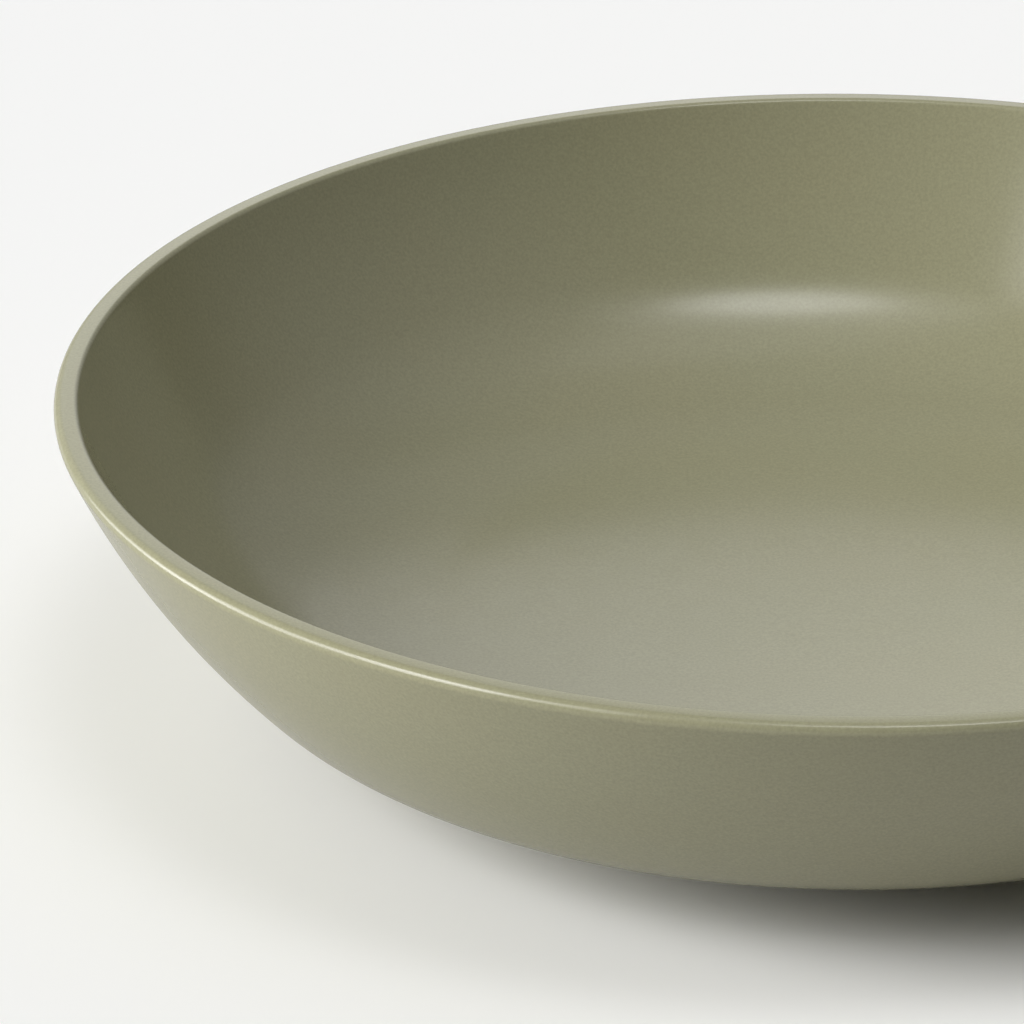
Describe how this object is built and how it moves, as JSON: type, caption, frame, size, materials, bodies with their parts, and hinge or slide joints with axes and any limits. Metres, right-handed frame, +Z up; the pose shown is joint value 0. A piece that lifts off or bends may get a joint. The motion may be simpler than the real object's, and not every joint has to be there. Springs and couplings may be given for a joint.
{
  "type": "deep plate",
  "caption": "Round deep plate in stoneware with a sage-green satin glaze: a slightly dished floor, a flared curved wall, a narrow lip and a bare foot ring, for soup, pasta and other food with sauce.",
  "frame": {"origin": "on the table, under the centre of the plate, in the plane of the foot ring's bare face", "axes": "+Z up along the axis of revolution; the plate is round, so +X and +Y are any two directions across it"},
  "size_m": [0.23, 0.23, 0.05],
  "materials": {
    "bare_stoneware": "unglazed fired clay, fine and dry, seen only on the face of the foot ring",
    "sage_glaze": "smooth satin glaze in a greyed sage green with a fine, faint grain"
  },
  "bodies": {
    "root": {"stoneware_body": "bare_stoneware", "glaze_coat": "sage_glaze", "base_glaze": "sage_glaze"}
  },
  "joints": []
}
